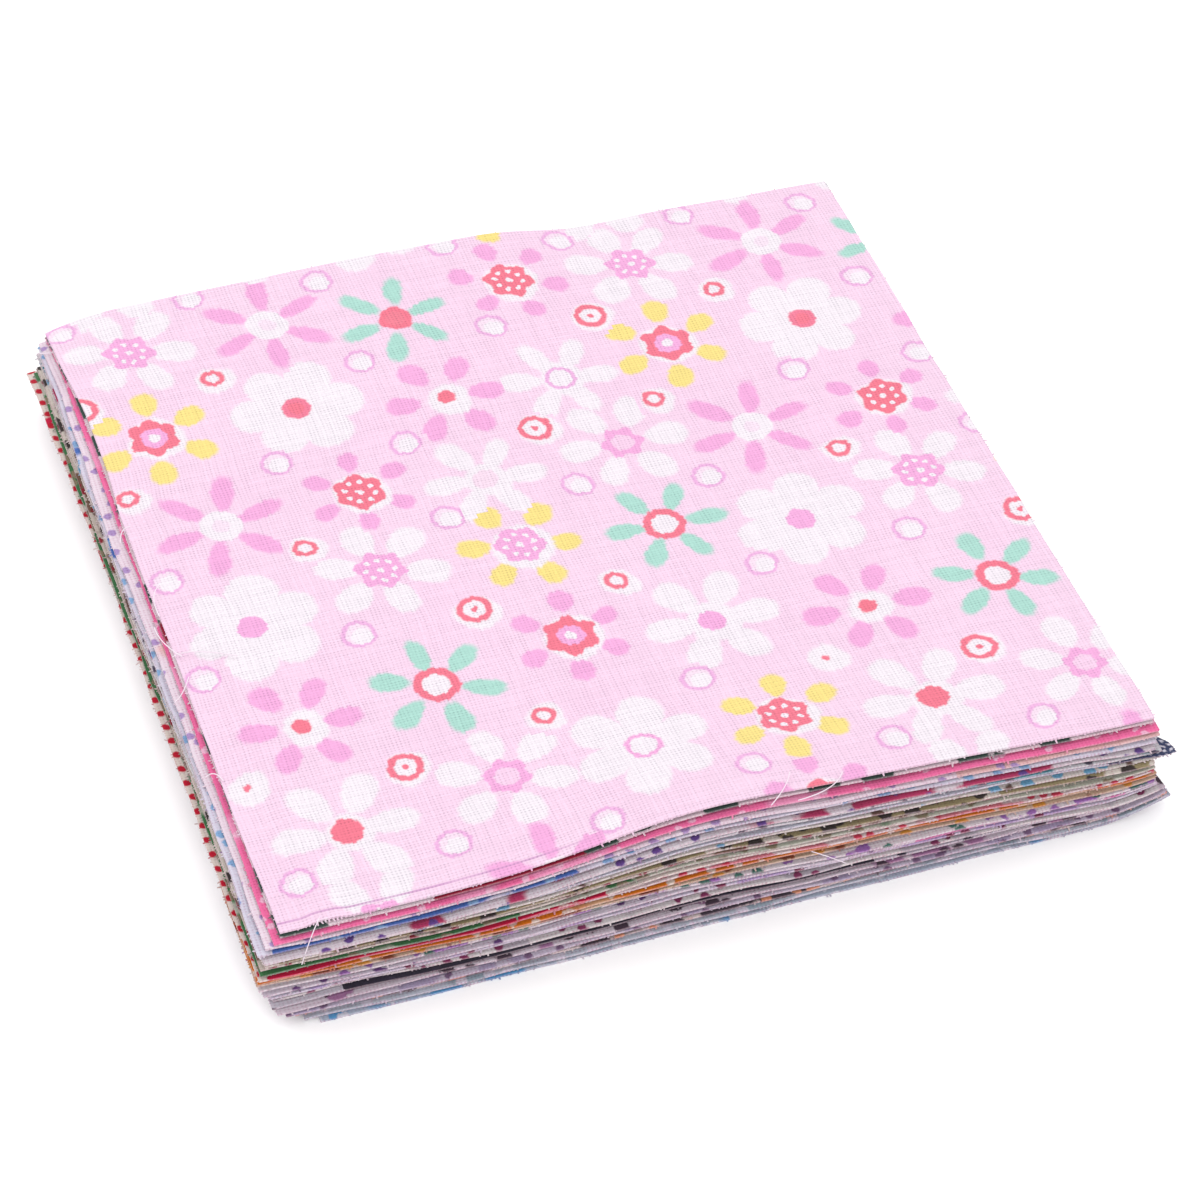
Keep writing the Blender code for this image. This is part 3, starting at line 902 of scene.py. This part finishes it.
def flower_print(tree, across, along):
    """The top square's print, from what each face knows of its motif."""
    (centre_x, centre_y, turn), _ = attribute(tree, "motif_place")
    (petals, reach, long), _ = attribute(tree, "motif_petals")
    (wide, halo, star), _ = attribute(tree, "motif_shape")
    (centre, inner, core), _ = attribute(tree, "motif_rounds")
    (dots, slipped, _), _ = attribute(tree, "motif_dots")
    place = vector(tree, across, along)
    right = across - centre_x + (noise(tree, place, WOBBLE_RIGHT) - 0.5) * WOBBLE
    back = along - centre_y + (noise(tree, vector(tree, along, across), WOBBLE_BACK) - 0.5) * WOBBLE
    radius = (right * right + back * back).math("SQRT")
    angle = back.math("ARCTAN2", right) - turn

    petal = angle * petals / math.tau
    number = (petal + 0.5).math("FLOOR").math("FLOORED_MODULO", petals)
    luck = chance(tree, number + centre_x * LUCK_RIGHT + centre_y * LUCK_BACK)
    off_axis = petal.math("WRAP", 0.5, -0.5) / petals * math.tau
    petal_reach = reach * (luck * REACH.spread + REACH.least)
    along_petal = (radius * off_axis.math("COSINE") - petal_reach) / long
    petal_width = wide * (luck * WIDTH.spread + WIDTH.least) * (along_petal * PETAL_TAPER + 1.0)
    beside = radius * off_axis.math("SINE") / petal_width
    oval = ((along_petal * along_petal + beside * beside).math("SQRT") - 1.0) * wide

    points = (angle * STAR_POINTS).math("COSINE") * star + 1.0
    spoke = (angle * DOTS / math.tau).math("WRAP", 0.5, -0.5) / DOTS * math.tau
    dot_right = radius * spoke.math("COSINE") - centre * DOT_REACH
    dot_side = radius * spoke.math("SINE")
    dot = (dot_right * dot_right + dot_side * dot_side).math("SQRT")
    dot = dot.math("MINIMUM", radius * MIDDLE_DOT)

    halo_right = right - HALO_RIGHT
    halo_back = back + HALO_FRONT
    halo_radius = (halo_right * halo_right + halo_back * halo_back).math("SQRT")

    patchy = noise(tree, place, INK_PATCHES)
    ground = mix(tree, noise(tree, place, GROUND_PATCHES), GROUND_PINK, PALE_GROUND)
    halo_edge = halo_radius - halo + (patchy - 0.5) * HALO_PATCHY
    centre_edge = radius - centre * points
    core_edge = radius + (halo_radius - radius) * slipped - core
    colour = mix(tree, inside(oval, SOFT.petal), ground, attribute(tree, "petal_ink")[1])
    colour = mix(tree, inside(halo_edge, SOFT.halo), colour, WHITE)
    colour = mix(tree, inside(centre_edge, SOFT.centre), colour, attribute(tree, "centre_ink")[1])
    colour = mix(tree, inside(radius - inner, SOFT.inner), colour, attribute(tree, "inner_ink")[1])
    colour = mix(tree, inside(core_edge, SOFT.core), colour, attribute(tree, "core_ink")[1])
    colour = mix(tree, inside(dot - DOT_RADIUS, SOFT.dot) * dots, colour, WHITE)
    # Painted shade along the line of the pulled thread.
    return mix(tree, pulled_shade_line(tree, patchy), colour, PULLED_SHADE)


def pulled_shade_line(tree, patchy):
    """How clearly the pulled thread's painted shade shows: a patchy line that fades to the right."""
    (x, y, _), _ = attribute(tree, "cloth")
    pulled = (y + (HALF_SIDE - PULLED_INSIDE)).math("ABSOLUTE") - PULLED_WIDE / 2
    return inside(pulled, PULLED_SOFT) * inside(x - PULLED_TO, PULLED_FADE) * patchy * PULLED_STRENGTH


def print_motifs():
    """Every motif on the top square, in its cloth coordinates: kind, x, y and turn in radians."""
    motifs = []
    for repeat in range(REPEATS):
        for motif in MOTIFS:
            to_right = REPEAT_RIGHT + DRAWN_RIGHT * motif.front
            to_front = REPEAT_FRONT + DRAWN_FRONT * motif.front * motif.right
            x = motif.right + repeat * to_right - HALF_SIDE
            y = HALF_SIDE - motif.front - repeat * to_front
            motifs.append((KINDS[motif.kind], x, y, math.radians(motif.turn)))
    return motifs


def motif_distance(kind, right, back, turn):
    """Distance from a motif's outline, as the print's shader draws it."""
    radius = np.hypot(right, back)
    petal = (np.arctan2(back, right) - turn) * kind.petals / math.tau
    off_axis = (petal - np.round(petal)) / kind.petals * math.tau
    along_petal = (radius * np.cos(off_axis) - kind.reach) / kind.long
    beside = radius * np.sin(off_axis) / kind.wide
    oval = (np.hypot(along_petal, beside) - 1) * kind.wide
    halo = np.hypot(right - HALO_RIGHT, back + HALO_FRONT) - kind.halo
    return np.minimum(oval, np.minimum(halo, radius - kind.centre) - HALO_ROOM)


def slips(kind):
    """1 where a motif's core is white and has slipped like the halos, and 0 elsewhere."""
    return float(kind.core_ink == WHITE and not kind.star)


def add_motifs(mesh):
    """Tells each face of the top square which motif is nearest, and how that is drawn."""
    cloth = np.empty(len(mesh.vertices) * 3, np.float32)
    mesh.attributes["cloth"].data.foreach_get("vector", cloth)
    cloth = cloth.reshape(-1, 3)
    middles = np.array([cloth[list(face.vertices)].mean(0) for face in mesh.polygons])
    motifs = print_motifs()
    distances = [motif_distance(kind, middles[:, 0] - x, middles[:, 1] - y, turn)
                 for kind, x, y, turn in motifs]
    nearest = np.argmin(distances, 0)
    kinds = [kind for kind, x, y, turn in motifs]
    tables = {
        "motif_place": [(x, y, turn) for kind, x, y, turn in motifs],
        "motif_petals": [(kind.petals, kind.reach, kind.long) for kind in kinds],
        "motif_shape": [(kind.wide, kind.halo, kind.star) for kind in kinds],
        "motif_rounds": [(kind.centre, kind.inner, kind.core) for kind in kinds],
        "motif_dots": [(kind.dots > 0, slips(kind), 0) for kind in kinds],
    }
    for part in ("petal_ink", "centre_ink", "inner_ink", "core_ink"):
        tables[part] = [getattr(kind, part) for kind in kinds]
    for name, rows in tables.items():
        layer = mesh.attributes.new(name, "FLOAT_VECTOR", "FACE")
        layer.data.foreach_set("vector", np.array(rows, np.float32)[nearest].ravel())


def strand_mesh(strand, first):
    """Points and faces of one loose thread: a thin tube along a smooth curve."""
    start, middle, end = (np.array(p) for p in strand)
    control = 2 * middle - (start + end) / 2
    share = np.linspace(0, 1, STRAND_STEPS)[:, None]
    line = (1 - share) ** 2 * start + 2 * share * (1 - share) * control + share ** 2 * end
    ahead = np.gradient(line, axis=0)
    ahead /= np.linalg.norm(ahead, axis=1)[:, None]
    side = np.cross(ahead, (0.0, 0.0, 1.0))
    side /= np.linalg.norm(side, axis=1)[:, None]
    over = np.cross(side, ahead)
    rings = []
    for corner in range(STRAND_SIDES):
        turn = math.tau * corner / STRAND_SIDES
        rings.append(line + STRAND_RADIUS * (math.cos(turn) * side + math.sin(turn) * over))
    points = np.stack(rings, 1).reshape(-1, 3)
    faces = []
    for step in range(STRAND_STEPS - 1):
        for corner in range(STRAND_SIDES):
            a = first + step * STRAND_SIDES + corner
            b = first + step * STRAND_SIDES + (corner + 1) % STRAND_SIDES
            faces.append((a, a + STRAND_SIDES, b + STRAND_SIDES, b))
    last = first + (STRAND_STEPS - 1) * STRAND_SIDES
    faces.append(tuple(first + corner for corner in range(STRAND_SIDES)))
    faces.append(tuple(last + corner for corner in reversed(range(STRAND_SIDES))))
    return points, faces


def thread_material():
    """Raw white cotton thread, with faint stripes of painted shade and light from its twist."""
    material, tree, shader = new_material("loose_thread_cotton")
    _, cloth = attribute(tree, "cloth")
    twist_shading = noise(tree, cloth, TWIST)
    colour = mix(tree, twist_shading, THREAD_TWIST_SHADE, THREAD_TWIST_LIT)
    tree.links.new(colour.socket, shader.inputs["Base Color"])
    set_inputs(shader, THREAD)
    return material


def make_strands():
    """The loose threads, as one piece."""
    points, faces = [], []
    for strand in STRANDS:
        more, rings = strand_mesh(strand, sum(len(p) for p in points))
        points.append(more)
        faces += rings
    points = np.concatenate(points)
    return make_object("loose_threads", points, faces, points, thread_material())


def make_floor():
    """A plain white floor."""
    mesh = bpy.data.meshes.new("floor")
    r = FLOOR_REACH
    mesh.from_pydata([(-r, -r, 0), (r, -r, 0), (r, r, 0), (-r, r, 0)], [], [(0, 1, 2, 3)])
    material, _, shader = new_material("floor_white")
    set_inputs(shader, FLOOR)
    mesh.materials.append(material)
    floor = add_object("floor", mesh)


def make_light(row):
    """A soft box that shines at the bundle."""
    data = bpy.data.lights.new(row.name, "AREA")
    data.size = row.size
    data.energy = row.power
    light = add_object(row.name, data)
    light.location = row.place
    light.rotation_euler = (-Vector(row.place)).to_track_quat("-Z", "Y").to_euler()


def light_scene():
    """The bright white world and the soft boxes."""
    world = bpy.data.worlds.new("studio")
    world.use_nodes = True
    set_inputs(world.node_tree.nodes["Background"], WORLD)
    bpy.context.scene.world = world
    bpy.context.scene.view_settings.view_transform = "Standard"
    for row in LIGHTS:
        make_light(row)


def make_camera():
    """The camera, where the photograph was taken from."""
    azimuth = math.radians(CAMERA_AZIMUTH)
    elevation = math.radians(CAMERA_ELEVATION)
    roll = math.radians(CAMERA_ROLL)
    back = Vector((
        math.sin(azimuth) * math.cos(elevation),
        -math.cos(azimuth) * math.cos(elevation),
        math.sin(elevation),
    ))
    level = Vector((math.cos(azimuth), math.sin(azimuth), 0))
    upright = back.cross(level)
    right = math.cos(roll) * level + math.sin(roll) * upright
    up = -math.sin(roll) * level + math.cos(roll) * upright
    place = -CAMERA_RIGHT * right - CAMERA_UP * up + CAMERA_DISTANCE * back
    place += Vector((TOP_SQUARE_RIGHT, TOP_SQUARE_BACK, 0))
    data = bpy.data.cameras.new("camera")
    data.sensor_width = SENSOR
    data.lens = CAMERA_LENS
    data.clip_start = CLIP_START
    camera = add_object("camera", data)
    turned = Matrix((right, up, back)).transposed().to_4x4()
    camera.matrix_world = Matrix.Translation(place * MM) @ turned
    bpy.context.scene.camera = camera


def dress_bundle():
    """A sheet of cloth for every solid, each resting on the one below."""
    for square in cut_squares():
        node = f"square_{square.index + 1:02d}_{square.name}"
        if square.index == len(PRINTS):
            piece = make_sheet(square, CELLS_TOP, cotton("printed_pink_flowers", flower_print, TOP_SHADE))
            add_motifs(piece.data)
            strands = make_strands()
            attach(strands, BODY)
        else:
            row = PRINTS[square.index]
            paint = scattered_print(row, square.index)
            material = cotton(f"printed_{row.name}", paint, LOWER_SHADE)
            piece = make_sheet(square, CELLS_HIDDEN, material)
        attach(piece, BODY)
        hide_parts(node)
        square.flat_size()


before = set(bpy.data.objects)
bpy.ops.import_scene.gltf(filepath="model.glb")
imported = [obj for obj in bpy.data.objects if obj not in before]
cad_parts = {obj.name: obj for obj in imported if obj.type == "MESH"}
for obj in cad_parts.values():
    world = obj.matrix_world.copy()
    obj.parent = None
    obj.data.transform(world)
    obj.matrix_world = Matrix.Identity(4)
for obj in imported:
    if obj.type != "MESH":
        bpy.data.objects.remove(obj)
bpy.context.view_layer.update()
make_camera()
light_scene()
make_floor()
dress_bundle()
